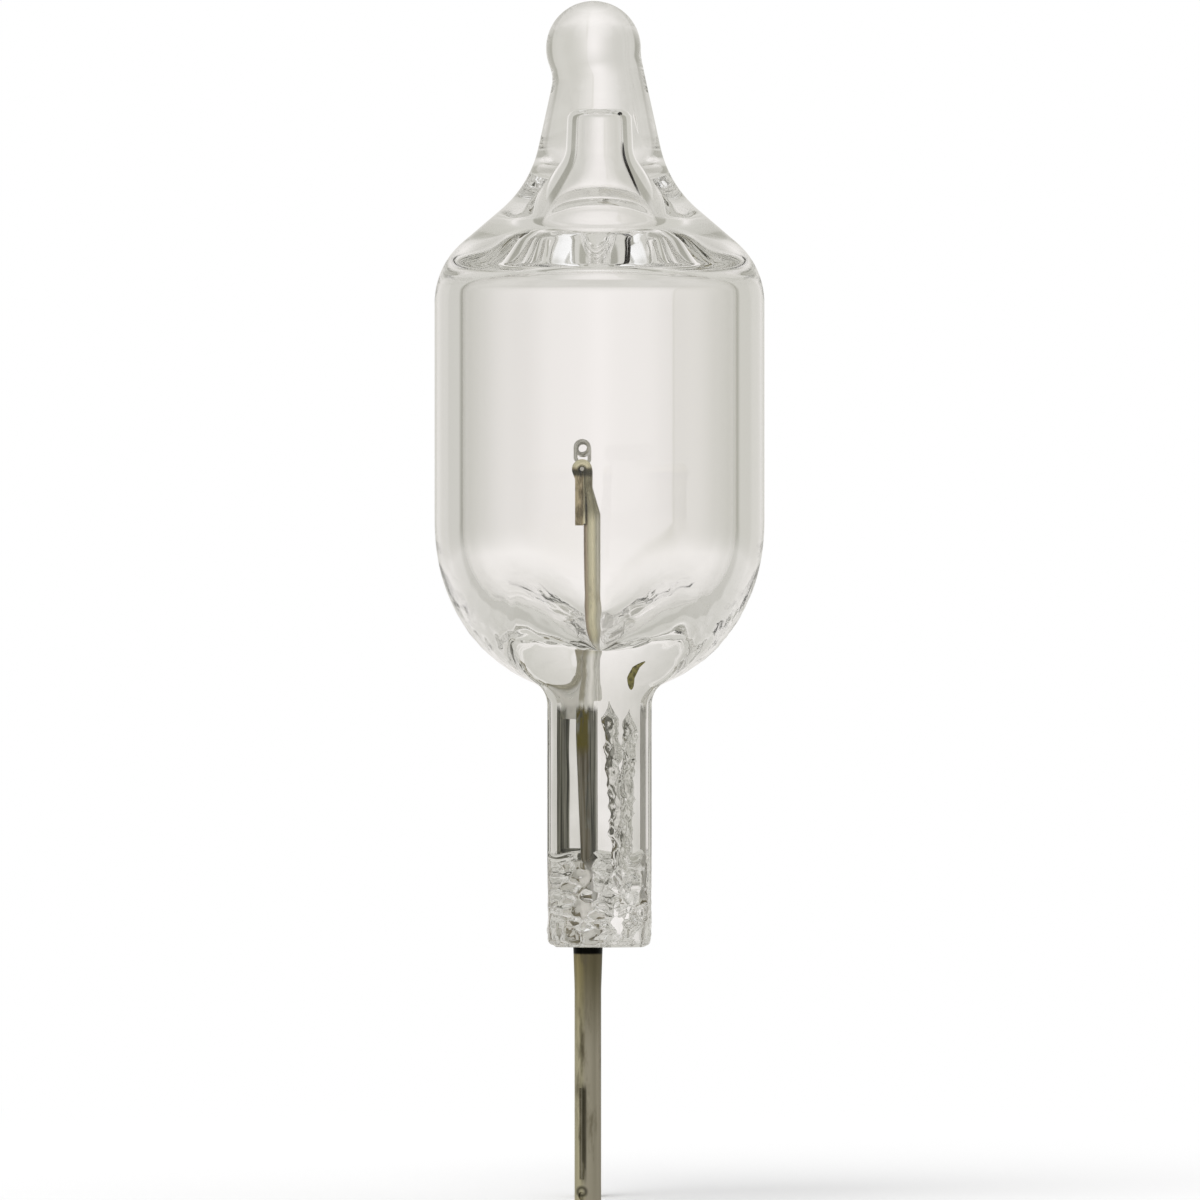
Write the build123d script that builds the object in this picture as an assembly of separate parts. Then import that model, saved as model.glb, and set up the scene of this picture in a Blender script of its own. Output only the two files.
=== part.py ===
from build123d import *
import math
import os

# A clear two-pin halogen capsule for a car's auxiliary driving light.
# Sizes are in millimetres. z = 0 is the lower end of the flat glass seal, +z runs up to the
# sealed-off tip, x goes through the seal's thickness and y along its width. The shapes are drawn
# about the glass axis, and the finished pieces are moved so that the origin lies between the pins.

# Glass barrel, the dome under it and the throat above the seal
bulb_diameter = 8.73
wall = 0.74
barrel_height = 6.68
dome_height = 4.65
dome_fullness = 2.15
throat_radius = 0.6

# Flat pinched seal, with a pressed panel in each wide face
seal_length = 6.3
seal_width = 8.9
seal_thickness = 2.72
seal_edge_round = 0.6
seal_end_round = 0.22
panel_depth = 0.34
panel_width = 5.6
panel_length = 4.4
panel_corner = 0.9
panel_draft = 35.0

# Shoulder, exhaust stub and the bead that closes it
shoulder_angle = 40.5
shoulder_radius = 2.1
stub_base_diameter = 3.66
stub_inset = 0.05
stub_blend = 3.0
bead_diameter = 2.51
bead_height = 3.6
bead_offset = 0.16

# Gas space inside
floor_depth = 1.4
floor_width = 5.8
floor_slot = 0.9
cavity_fullness = 1.65
ceiling_drop = 0.36
ceiling_angle = 18.0
ceiling_radius = 0.6
funnel_diameter = 3.2
funnel_angle = 68.0
funnel_blend = 0.6
bore_diameter = 1.24
bore_end_diameter = 1.16
bore_blend = 1.4
bore_end_round = 0.25
bead_solid = 1.71

# Contact pins
pin_spacing = 4.0
pin_diameter = 0.70
pin_length = 6.85
pin_root_diameter = 0.78
pin_root_length = 1.2
pin_chamfer = 0.08
pin_weld = 0.9
pin_seat = 0.19
capillary_gap = 0.03

# Seam and small pit on the near pin
seam_drop = 3.75
seam_length = 2.4
seam_width = 0.14
seam_bearing = 27.0
pit_diameter = 0.22
pit_depth = 0.08
pit_rise = 0.27

# Sealing foils, each with its pin and its lead welded to the left face
foil_start = 1.25
foil_length = 5.15
foil_width = 1.6
foil_thickness = 0.03
foil_offset = 0.1

# Inner leads, flattened and folded over at the top
lead_diameter = 0.43
lead_seat = 0.075
lead_weld = 0.5
lead_reach = 4.9
flatten_length = 0.75
hook_jog = 0.1
hook_height = 0.435
hook_return = 1.5
pinch_length = 0.3
pinch_gap = 0.03
strip_thickness = 0.2
strip_width = 0.5
strip_edge_round = 0.06
eye_clearance = 0.005

# Filament coil
filament_wire = 0.1
coil_diameter = 0.34
coil_pitch = 0.24
coil_turns = 12
coil_lift = 0.1
tail_drop = 0.3
tail_bend = 0.1
tail_end = 0.1

# Places worked out from the sizes above
bulb_radius = bulb_diameter / 2
cavity_radius = bulb_radius - wall
half_thickness = seal_thickness / 2
half_width = seal_width / 2
pin_radius = pin_diameter / 2
lead_radius = lead_diameter / 2
pin_x = -(foil_offset + foil_thickness / 2 + pin_seat)
lead_x = -(foil_offset + foil_thickness / 2 + lead_seat)
foil_end = foil_start + foil_length
pin_top = foil_start + pin_weld
lead_bottom = foil_end - lead_weld
lead_top = foil_end + lead_reach
strip_start = lead_top + flatten_length
eye_radius = filament_wire / 2 + eye_clearance
fold_radius = eye_radius + strip_thickness / 2
rise_x = lead_x - hook_jog
eye_x = rise_x - fold_radius
return_x = rise_x - strip_thickness - pinch_gap
eye_z = strip_start + hook_height
hook_top = eye_z + eye_radius + strip_thickness
coil_radius = coil_diameter / 2
coil_length = coil_pitch * (coil_turns + 0.5)
coil_z = hook_top + coil_lift + coil_radius + filament_wire / 2

# Which way along y each pin lies, as seen from the front
NEAR = -1
FAR = 1

# How many rings a loft runs through
DOME_STEPS = 8
THROAT_STEPS = 3
END_STEPS = 3
STACK_STEPS = 22

# A ring's points, as bearings in degrees from +x: along one flank, then round one edge
FLANK = 60.0
QUARTER = [FLANK * share for share in (0, 1 / 3, 2 / 3, 0.87)]
QUARTER += [FLANK + (90 - FLANK) * share for share in (0, 0.25, 0.5, 0.75, 1)]


def bar_point(bearing, a, b, edge_round):
    """Point in the first quarter of a flat bar's outline, 2a thick and 2b wide, with oval edges."""
    if bearing <= FLANK:
        return a, (b - edge_round) * bearing / FLANK
    turn = math.radians(90 * (bearing - FLANK) / (90 - FLANK))
    return a * math.cos(turn), b - edge_round + edge_round * math.sin(turn)


def ring(z, a, b, flatness=0.0, edge_round=0.0, centre=(0.0, 0.0)):
    """Closed face at height z: an ellipse at flatness 0, a flat bar with oval edges at 1."""
    quarter = []
    for bearing in QUARTER:
        bar_x, bar_y = bar_point(bearing, a, b, edge_round)
        round_x = a * math.cos(math.radians(bearing))
        round_y = b * math.sin(math.radians(bearing))
        x = round_x + (bar_x - round_x) * flatness
        y = round_y + (bar_y - round_y) * flatness
        quarter.append((bearing, x, y))
    half = quarter + [(180 - bearing, -x, y) for bearing, x, y in reversed(quarter[:-1])]
    whole = half + [(180 + bearing, -x, -y) for bearing, x, y in half[1:-1]]
    points = [(centre[0] + x, centre[1] + y, z) for _, x, y in whole]
    bearings = [bearing for bearing, _, _ in whole] + [360]
    return Face(Wire([Edge.make_spline(points, periodic=True, parameters=bearings, scale=False)]))


def round_stack(corners, radii):
    """Round solid along a profile of (radius, z) corners, whose inner corners are rounded.

    A last corner on the axis stands for the level end, which the solid's own end face makes.
    """
    profile = FilletPolyline(*corners, radius=radii)
    length = profile.length
    if corners[-1][0] == 0:
        length -= profile.edges()[-1].length
    rings = []
    for step in range(STACK_STEPS + 1):
        place = profile.position_at(length * step / STACK_STEPS, position_mode=PositionMode.LENGTH)
        rings.append(ring(place.Y, place.X, place.X))
    return loft(rings)


def dome_point(angle, radius, height, fullness):
    """Point on a dome's profile: how far out, and how far below its widest plane."""
    return radius * math.cos(angle) ** (2 / fullness), height * math.sin(angle) ** (2 / fullness)


def dome_normal(out, down):
    """Outward direction at a point of the glass dome's profile."""
    nx = (out / bulb_radius) ** (dome_fullness - 1) / bulb_radius
    nz = -((down / dome_height) ** (dome_fullness - 1)) / dome_height
    size = math.hypot(nx, nz)
    return nx / size, nz / size


def find_throat():
    """Angle on the dome where the throat's round touches it, found by halving."""
    low, high = 0.0, math.pi / 2
    for _ in range(60):
        middle = (low + high) / 2
        out, down = dome_point(middle, bulb_radius, dome_height, dome_fullness)
        if out + throat_radius * dome_normal(out, down)[0] > half_thickness + throat_radius:
            low = middle
        else:
            high = middle
    return low


throat_angle = find_throat()
throat_out, throat_down = dome_point(throat_angle, bulb_radius, dome_height, dome_fullness)
throat_normal = dome_normal(throat_out, throat_down)
dome_z = seal_length + throat_down - throat_radius * throat_normal[1]
shoulder_z = dome_z + barrel_height
cavity_floor = seal_length + floor_depth
stub_base_z = shoulder_z + (bulb_radius - stub_base_diameter / 2) * math.tan(math.radians(shoulder_angle))
bead_z = stub_base_z + bead_height
bead_radius = bead_diameter / 2
barrel_middle = dome_z + barrel_height / 2


def glass_skin():
    """Outside of the glass: flat seal, throat, dome, barrel, shoulder, stub and closing bead."""
    levels = []
    for step in range(DOME_STEPS + 1):
        angle = throat_angle * step / DOME_STEPS
        out, down = dome_point(angle, bulb_radius, dome_height, dome_fullness)
        levels.append((out, dome_z - down))
    throat_sweep = math.atan2(-throat_normal[1], throat_normal[0])
    for step in reversed(range(THROAT_STEPS)):
        turn = math.pi - throat_sweep * step / THROAT_STEPS
        out = half_thickness + throat_radius * (1 + math.cos(turn))
        levels.append((out, seal_length + throat_radius * math.sin(turn)))
    rings = []
    for half, z in reversed(levels):
        flatness = (bulb_radius - half) / (bulb_radius - half_thickness)
        across = bulb_radius + (half_width - bulb_radius) * flatness
        rings.append(ring(z, half, across, flatness, seal_edge_round))
    end_rings = []
    for step in range(END_STEPS + 1):
        turn = math.pi / 2 * step / END_STEPS
        inset = seal_end_round * (1 - math.sin(turn))
        z = seal_end_round * (1 - math.cos(turn))
        end_round = seal_edge_round - inset
        end_rings.append(ring(z, half_thickness - inset, half_width - inset, 1.0, end_round))
    seal = loft(end_rings) + extrude(rings[0], amount=seal_length - seal_end_round, dir=(0, 0, -1))
    barrel = extrude(rings[-1], amount=barrel_middle - dome_z, dir=(0, 0, 1))
    shoulder = round_stack(
        [(bulb_radius, barrel_middle), (bulb_radius, shoulder_z),
         (stub_base_diameter / 2, stub_base_z), (bead_radius - bead_offset - stub_inset, bead_z)],
        [shoulder_radius, stub_blend])
    bead = Pos(-bead_offset, 0, bead_z) * Sphere(bead_radius)
    return seal + loft(rings) + barrel + shoulder + bead


def gas_space():
    """Hollow inside the glass: a trough-shaped floor, the barrel, a flat ceiling, funnel and bore."""
    depth = dome_z - cavity_floor
    last_angle = math.acos((floor_slot / 2 / cavity_radius) ** (cavity_fullness / 2))
    rings = []
    for step in reversed(range(DOME_STEPS + 1)):
        out, down = dome_point(last_angle * step / DOME_STEPS, cavity_radius, depth, cavity_fullness)
        across = cavity_radius - (cavity_radius - floor_width / 2) * (down / depth) ** 2
        rings.append(ring(dome_z - down, out, across))
    barrel = extrude(rings[-1], amount=barrel_middle - dome_z, dir=(0, 0, 1))
    ceiling_z = shoulder_z - ceiling_drop
    funnel_z = ceiling_z + (cavity_radius - funnel_diameter / 2) * math.tan(math.radians(ceiling_angle))
    bore_z = funnel_z + (funnel_diameter - bore_diameter) / 2 * math.tan(math.radians(funnel_angle))
    bore_top = bead_z - bead_solid
    bore = round_stack(
        [(cavity_radius, barrel_middle), (cavity_radius, ceiling_z), (funnel_diameter / 2, funnel_z),
         (bore_diameter / 2, bore_z), (bore_end_diameter / 2, bore_top), (0, bore_top)],
        [ceiling_radius, funnel_blend, bore_blend, bore_end_round])
    return loft(rings) + barrel + bore


def seal_panel(side):
    """Shallow pocket with sloping walls, pressed into one wide face of the seal."""
    slope = panel_depth * math.tan(math.radians(panel_draft))
    outside = (side * (half_thickness + panel_depth), 0, seal_length / 2)
    face = Plane(origin=outside, x_dir=(0, 1, 0), z_dir=(-side, 0, 0))
    outline = RectangleRounded(panel_width + 2 * slope, panel_length + 2 * slope, panel_corner + slope)
    return extrude(face * outline, amount=2 * panel_depth, taper=panel_draft)


def weld_flat(y, low, high):
    """Block from the foil's left face to the right, between two heights, that trims a wire flat."""
    size = lead_diameter + pin_diameter
    x = (size - foil_thickness) / 2 - foil_offset
    return Pos(x, y, (low + high) / 2) * Box(size, size, high - low)


def contact_pin(y, seamed):
    """Round pin with a thicker root under the glass and a flat where it is welded to its foil."""
    standing = (Align.CENTER, Align.CENTER, Align.MIN)
    shank = Pos(pin_x, y, -pin_length) * Cylinder(pin_radius, pin_length + pin_top, align=standing)
    shank = chamfer(shank.faces().sort_by(Axis.Z)[0].edges(), pin_chamfer)
    root = Cone(pin_radius, pin_root_diameter / 2, pin_root_length, align=standing)
    root = Pos(pin_x, y, -pin_root_length) * root
    pin = shank + root - weld_flat(y, foil_start, pin_top)
    if seamed:
        bearing = math.radians(seam_bearing)
        seam_x = pin_x - pin_radius * math.sin(bearing)
        seam_y = y - pin_radius * math.cos(bearing)
        seam = Cylinder(seam_width / 2, seam_length, align=standing)
        pin -= Pos(seam_x, seam_y, -seam_drop - seam_length) * seam
        pit = Rot(0, 0, -seam_bearing) * Rot(90, 0, 0) * Cylinder(pit_diameter / 2, 2 * pit_depth)
        pin -= Pos(seam_x, seam_y, pit_rise - pin_length) * pit
    return pin


def sealing_foil(y):
    """Thin flat strip in the middle of the seal, between a pin and an inner lead."""
    return Pos(-foil_offset, y, (foil_start + foil_end) / 2) * Box(foil_thickness, foil_width, foil_length)


def inner_lead(y):
    """Round wire welded to the foil, flattened above and folded over to grip the filament's tail."""
    stem_end = ring(lead_top, lead_radius, lead_radius, centre=(lead_x, y))
    stem = extrude(stem_end, amount=lead_top - lead_bottom, dir=(0, 0, -1))
    strip_end = ring(
        strip_start, strip_thickness / 2, strip_width / 2, 1.0, strip_edge_round, (rise_x, y))
    fold_end = (eye_x - fold_radius, y, eye_z)
    pinch_end = (return_x, y, eye_z - pinch_length)
    downward = (0, 0, -1)
    path = [
        Line((rise_x, y, strip_start), (rise_x, y, eye_z)),
        ThreePointArc((rise_x, y, eye_z), (eye_x, y, eye_z + fold_radius), fold_end),
        Spline(fold_end, pinch_end, tangents=(downward, downward)),
        Line(pinch_end, (return_x, y, eye_z - hook_return)),
    ]
    hook = sweep(strip_end, path=Wire([line.edge() for line in path]))
    lead = stem + loft([stem_end, strip_end]) + hook
    return lead - weld_flat(y, lead_bottom, foil_end)


def filament():
    """Coil across the bulb, with a tail at each end that drops and runs through a lead's fold."""
    helix = Pos(eye_x, -coil_length / 2, coil_z) * Rot(-90, 0, 0) * Rot(0, 0, 180) * Helix(
        coil_pitch, coil_length, coil_radius)
    tails = []
    for end, way in ((0, NEAR), (1, FAR)):
        start = helix @ end
        drop = start + (helix % end) * (way * tail_drop)
        entry = Vector(eye_x, way * ((pin_spacing - strip_width) / 2 - tail_bend), eye_z)
        last = Vector(eye_x, way * ((pin_spacing + strip_width) / 2 + tail_end), eye_z)
        tails.append(FilletPolyline(start, drop, entry, last, radius=tail_bend))
    path = Wire([edge for line in (tails[0], helix, tails[1]) for edge in line.edges()])
    start = path @ 0
    return sweep(Plane(origin=start, z_dir=path % 0) * Circle(filament_wire / 2), path=path)


sides = {"near": NEAR * pin_spacing / 2, "far": FAR * pin_spacing / 2}
nodes = {"filament_coil": filament()}
for name, y in sides.items():
    nodes[f"{name}_contact_pin"] = contact_pin(y, name == "near")
    nodes[f"{name}_sealing_foil"] = sealing_foil(y)
    nodes[f"{name}_inner_lead"] = inner_lead(y)

envelope = glass_skin() - gas_space() - seal_panel(1) - seal_panel(-1)
for name, y in sides.items():
    envelope -= Pos(pin_x, y, foil_start / 2) * Cylinder(pin_radius + capillary_gap, foil_start)
    for kind in ("contact_pin", "sealing_foil", "inner_lead"):
        envelope -= nodes[f"{name}_{kind}"]
nodes["glass_envelope"] = envelope

# The origin goes midway between the pins, at the seal's lower end, where a holder grips the lamp.
os.makedirs("parts", exist_ok=True)
for name, shape in nodes.items():
    export_step(Pos(-pin_x, 0, 0) * shape, f"parts/{name}.step")
    print(f"{name}: {len(shape.solids())} solid, {shape.volume:.3f} mm3, valid {shape.is_valid}")
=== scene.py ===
# %% [markdown]
# # A two-pin halogen capsule
# The lamp is a blown quartz capsule: a round barrel with a sealed-off tip, a dome that is pinched
# flat into a seal, and inside it a coiled filament on two bent leads. Foils in the seal carry the
# current from the leads to the two contact pins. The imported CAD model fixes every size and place,
# and this script adds what the eye sees: true glass, drawn and heated metal, light and a camera.

import math

import bmesh
import bpy
import numpy as np
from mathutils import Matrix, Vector, noise


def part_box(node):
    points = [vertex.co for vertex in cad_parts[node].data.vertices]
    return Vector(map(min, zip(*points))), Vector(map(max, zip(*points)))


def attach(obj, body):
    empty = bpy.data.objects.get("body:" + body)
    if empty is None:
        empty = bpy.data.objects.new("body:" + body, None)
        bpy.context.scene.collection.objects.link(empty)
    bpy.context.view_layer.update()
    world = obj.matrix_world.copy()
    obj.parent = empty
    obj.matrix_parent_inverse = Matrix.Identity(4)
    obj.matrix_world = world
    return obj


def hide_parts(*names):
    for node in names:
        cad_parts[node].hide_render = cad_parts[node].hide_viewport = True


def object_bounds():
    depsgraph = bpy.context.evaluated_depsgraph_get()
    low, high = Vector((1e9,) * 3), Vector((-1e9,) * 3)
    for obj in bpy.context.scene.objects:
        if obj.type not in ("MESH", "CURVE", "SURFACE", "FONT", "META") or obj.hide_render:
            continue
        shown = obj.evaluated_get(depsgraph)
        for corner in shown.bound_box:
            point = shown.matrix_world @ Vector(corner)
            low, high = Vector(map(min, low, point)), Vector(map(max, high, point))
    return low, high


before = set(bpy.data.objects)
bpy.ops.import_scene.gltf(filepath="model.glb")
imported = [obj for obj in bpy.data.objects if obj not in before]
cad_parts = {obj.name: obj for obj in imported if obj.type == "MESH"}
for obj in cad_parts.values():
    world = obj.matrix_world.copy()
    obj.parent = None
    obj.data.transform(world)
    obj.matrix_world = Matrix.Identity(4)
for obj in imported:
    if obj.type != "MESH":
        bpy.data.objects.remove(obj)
cad_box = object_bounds()
MM = 0.001
print("CAD nodes:", sorted(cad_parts))

# %% [markdown]
# ## The camera
# The photograph looks straight at the seal's narrow edge, from far enough that the second pin hides
# behind the first. A long lens gives that view. Its distance follows from the picture's scale, so
# the barrel's axis and the seal's lower end fall on the same pixels as in the photograph.

# %% Camera
PHOTO_SIDE = 1200.0
PIXELS_PER_MM = 37.8
BARREL_AXIS_COLUMN = 599.5
SEAL_END_ROW = 942.0
LENS = 300.0
SENSOR = 36.0
NEAR_CLIP = 0.01


def add_object(name, data):
    """Puts a camera, a lamp or a mesh into the scene."""
    thing = bpy.data.objects.new(name, data)
    bpy.context.scene.collection.objects.link(thing)
    return thing


glass_low, glass_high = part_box("glass_envelope")
axis_x = (glass_low.x + glass_high.x) / 2
distance = PHOTO_SIDE / PIXELS_PER_MM * LENS / SENSOR * MM
camera_data = bpy.data.cameras.new("photo_camera")
camera_data.lens = LENS
camera_data.sensor_width = SENSOR
camera_data.clip_start = NEAR_CLIP
camera = add_object("photo_camera", camera_data)
camera.location = (
    axis_x + (PHOTO_SIDE / 2 - BARREL_AXIS_COLUMN) / PIXELS_PER_MM * MM,
    -distance,
    (SEAL_END_ROW - PHOTO_SIDE / 2) / PIXELS_PER_MM * MM,
)
camera.rotation_euler = (math.pi / 2, 0, 0)
bpy.context.scene.camera = camera
print(f"camera {distance:.3f} m away, barrel axis at x = {axis_x / MM:.3f} mm")

# %% [markdown]
# ## Writing shaders as sums
# A finish is a small network of nodes. Wiring it by hand is long, so one class wraps an output and
# lets plain Python arithmetic add the Math nodes. Every other node comes from a single method that
# takes the node's type, its settings and what goes into its sockets.

# %% Shader helper


class Link:
    """One output of a shader node. Arithmetic on links adds Math nodes."""

    def __init__(self, finish, socket):
        self.finish = finish
        self.socket = socket

    def other(self, name):
        return Link(self.finish, self.socket.node.outputs[name])

    def math(self, operation, *values):
        return self.finish.add("ShaderNodeMath", {"operation": operation}, dict(enumerate(values)))

    def __add__(self, value):
        return self.math("ADD", self, value)

    def __sub__(self, value):
        return self.math("SUBTRACT", self, value)

    def __rsub__(self, value):
        return self.math("SUBTRACT", value, self)

    def __mul__(self, value):
        return self.math("MULTIPLY", self, value)

    def __truediv__(self, value):
        return self.math("DIVIDE", self, value)

    def __rtruediv__(self, value):
        return self.math("DIVIDE", value, self)

    def __abs__(self):
        return self.math("ABSOLUTE", self)

    __radd__ = __add__
    __rmul__ = __mul__

    def root(self):
        return self.math("SQRT", self)

    def exponential(self):
        return self.math("EXPONENT", self)


class Finish:
    """A node tree under construction, for a material or the world."""

    def __init__(self, owner):
        owner.use_nodes = True
        self.owner = owner
        self.tree = owner.node_tree
        self.tree.nodes.clear()

    def add(self, kind, settings=None, values=None, output=0):
        node = self.tree.nodes.new(kind)
        for name, value in (settings or {}).items():
            setattr(node, name, value)
        for place, value in (values or {}).items():
            if isinstance(value, Link):
                self.tree.links.new(value.socket, node.inputs[place])
            else:
                node.inputs[place].default_value = value
        return Link(self, node.outputs[output]) if node.outputs else None

    def close(self, shader, kind="ShaderNodeOutputMaterial"):
        self.add(kind, None, {"Surface": shader})
        return self.owner

    def position(self):
        return self.add("ShaderNodeTexCoord", output="Object")

    def axes(self, vector):
        x = self.add("ShaderNodeSeparateXYZ", None, {"Vector": vector}, "X")
        return x, x.other("Y"), x.other("Z")

    def noise(self, place, grain, detail=3.0, roughness=0.5):
        """Cloudy noise from 0 to 1, whose grain is its frequency per metre along each axis."""
        stretched = self.add("ShaderNodeVectorMath", {"operation": "MULTIPLY"}, {0: place, 1: grain})
        values = {"Vector": stretched, "Scale": 1.0, "Detail": detail, "Roughness": roughness}
        return self.add("ShaderNodeTexNoise", None, values, "Fac")

    def ease(self, value, span):
        """0 before the span, 1 after it, and smooth between its ends."""
        values = {"Value": value, "From Min": span[0], "From Max": span[1]}
        return self.add("ShaderNodeMapRange", {"interpolation_type": "SMOOTHSTEP"}, values)

    def band(self, value, span, blur):
        """1 inside the span and 0 outside it, with soft ends."""
        low, high = span
        inside = self.ease(value, (low - blur, low + blur))
        return inside * (1 - self.ease(value, (high - blur, high + blur)))

    def tint(self, factor, first, second):
        """Colour that goes from the first to the second with the factor."""
        values = {0: factor, 6: first, 7: second}
        return self.add("ShaderNodeMix", {"data_type": "RGBA"}, values, 2)

    def fade(self, value, span, first, second):
        """Colour that goes from the first to the second while the value crosses the span."""
        return self.tint(self.ease(value, span), first, second)


def new_finish(name):
    return Finish(bpy.data.materials.new(name))


print("shader helper ready")

# %% [markdown]
# ## Studio light
# Clear glass is only seen by what it bends into view, so the studio matters as much as the glass.
# The camera sees plain white. Rays bent or mirrored by the lamp see four white screens, one on each
# side, with grey room round them and a dark gap on each diagonal. A ray that goes nearly straight
# through meets white, and one that the thick wall throws sideways meets a gap, which draws the dark
# lines along the wall. Below the screens a pale sweep runs out over the floor, two softboxes stand
# beside the camera, and the edge of a grey card stands behind the lamp. A soft sun gives the shadow
# on the floor.

# %% Colours of the room
WHITE = (1.0, 1.0, 1.0, 1.0)
SCREEN = (0.92, 0.89, 0.87, 1.0)
SWEEP = (1.0, 0.97, 0.95, 1.0)
ROOM = (0.64, 0.63, 0.59, 1.0)
AMBIENT = (0.8, 0.8, 0.8, 1.0)
SCREEN_WIDTH_FALL = 8.3
SCREEN_HEIGHT_FALL = 15.0
SWEEP_WIDTH_FALL = 1.3
SWEEP_HEIGHT_FALL = 12.0
SWEEP_STEEPNESS = 0.25
GAP = (0.36, 0.355, 0.31, 1.0)
GAP_START = (0.5, 0.6)
GAP_END = (0.88, 0.97)
GAP_LOSS_BELOW = 0.65
CARD_EDGE = 0.085
CARD_BLUR = 0.002
CARD_START = (0.0, 0.2)
CARD_SHADE = (0.6, 0.59, 0.52, 1.0)
CARD_SHARE = 0.2
CARD_LINE_SHARE = 0.3
NEVER_ZERO = 1e-9


def backdrop(finish, east, north, up):
    """Colour of the room in one direction: a soft white screen on each of four sides."""
    level = east * east + north * north + NEVER_ZERO
    turned = 4 * (east * east) * (north * north) / (level * level)
    rise = up / (level + up * up).root()
    raised = rise * rise
    below = finish.ease(rise, (0.0, -SWEEP_STEEPNESS))
    width_fall = SCREEN_WIDTH_FALL - (SCREEN_WIDTH_FALL - SWEEP_WIDTH_FALL) * below
    height_fall = SCREEN_HEIGHT_FALL * (1 - below) + SWEEP_HEIGHT_FALL * below * raised
    fall = width_fall * turned + height_fall * raised
    screen = (0 - fall).exponential()
    colour = finish.tint(screen, ROOM, finish.tint(below, SCREEN, SWEEP))
    sideways = east * east / level
    gap = finish.ease(sideways, GAP_START) * (1 - finish.ease(sideways, GAP_END))
    colour = finish.tint(gap * (1 - GAP_LOSS_BELOW * below), colour, GAP)
    past_card = east - CARD_EDGE * north
    behind = finish.ease(north, CARD_START)
    beyond = finish.ease(past_card, (-CARD_BLUR, CARD_BLUR)) * behind
    colour = finish.tint(CARD_SHARE * beyond, colour, CARD_SHADE)
    line = finish.ease(abs(past_card), (2 * CARD_BLUR, 0.0)) * behind
    return finish.tint(CARD_LINE_SHARE * line, colour, CARD_SHADE)


print("room colours:", {"screen": SCREEN, "sweep": SWEEP, "room": ROOM, "gap": GAP})

# %% [markdown]
# The room above is a function, because the floor will need it too. The world uses it for bent rays,
# adds the softboxes, and stays plain white for the camera. Light goes through many glass walls here,
# so the number of bounces is raised well above the usual.

# %% World and lamp
SOFTBOX_SIDE = math.radians(142)
SOFTBOX_LIFT = math.radians(38)
SOFTBOX_EDGE = (0.955, 0.975)
SUN_LEVEL = 1.3
SUN_SPREAD = math.radians(50)
SUN_TILT = (math.radians(28), math.radians(-22), 0)
GLASS_BOUNCES = 40
MIRROR_BOUNCES = 20


def softbox(finish, direction, side):
    """1 towards a white softbox that stands beside the camera, a little above it."""
    aim = (side * math.cos(SOFTBOX_LIFT) * math.sin(SOFTBOX_SIDE),
           math.cos(SOFTBOX_LIFT) * math.cos(SOFTBOX_SIDE), math.sin(SOFTBOX_LIFT))
    toward = finish.add(
        "ShaderNodeVectorMath", {"operation": "DOT_PRODUCT"}, {0: direction, 1: aim}, "Value")
    return finish.ease(toward, SOFTBOX_EDGE)


world = bpy.data.worlds.new("studio")
bpy.context.scene.world = world
studio = Finish(world)
direction = studio.add("ShaderNodeTexCoord", output="Generated")
softboxes = softbox(studio, direction, -1) + softbox(studio, direction, 1)
surroundings = studio.tint(softboxes, backdrop(studio, *studio.axes(direction)), WHITE)
camera_ray = studio.add("ShaderNodeLightPath", output="Is Camera Ray")
bent_ray = camera_ray.other("Is Glossy Ray") + camera_ray.other("Is Transmission Ray")
seen = studio.tint(bent_ray, AMBIENT, surroundings)
seen = studio.tint(camera_ray, seen, WHITE)
background = studio.add("ShaderNodeBackground", None, {"Color": seen, "Strength": 1.0})
studio.close(background, "ShaderNodeOutputWorld")

sun_data = bpy.data.lights.new("soft_sun", "SUN")
sun_data.energy = SUN_LEVEL
sun_data.angle = SUN_SPREAD
sun = add_object("soft_sun", sun_data)
sun.rotation_euler = SUN_TILT
sun.visible_glossy = False
sun.visible_transmission = False

cycles = bpy.context.scene.cycles
cycles.max_bounces = GLASS_BOUNCES
cycles.transmission_bounces = GLASS_BOUNCES
cycles.glossy_bounces = MIRROR_BOUNCES
bpy.context.scene.view_settings.view_transform = "Standard"
print("studio: four screens, two softboxes, one soft sun")

# %% [markdown]
# ## The floor
# The lamp stands on its pins on a pale floor. Near the lamp the floor is plain paint that takes the
# shadow. Further out it turns into plain white, so that no horizon shows behind the glass.

# %% Floor
FLOOR_SIZE = 2.0
FLOOR_PAINT = (0.9, 0.9, 0.9, 1.0)
SHADOW_REACH = (0.012, 0.05)
LAMP_MIDDLE = 0.02

floor_paint = new_finish("floor_paint")
floor_x, floor_y, floor_z = floor_paint.axes(floor_paint.position())
from_lamp = (floor_x * floor_x + floor_y * floor_y).root()
far_out = floor_paint.ease(from_lamp, SHADOW_REACH)
paint = floor_paint.add("ShaderNodeBsdfDiffuse", None, {"Color": FLOOR_PAINT})
sight = floor_paint.add("ShaderNodeLightPath", output="Is Camera Ray")
bent_sight = sight.other("Is Glossy Ray") + sight.other("Is Transmission Ray")
far_room = backdrop(floor_paint, floor_x, floor_y, floor_z - LAMP_MIDDLE)
shade = floor_paint.tint(sight, far_room, WHITE)
white = floor_paint.add("ShaderNodeEmission", None, {"Color": shade, "Strength": 1.0})
surface = floor_paint.add(
    "ShaderNodeMixShader", None, {0: far_out * sight + bent_sight, 1: paint, 2: white})

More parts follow.
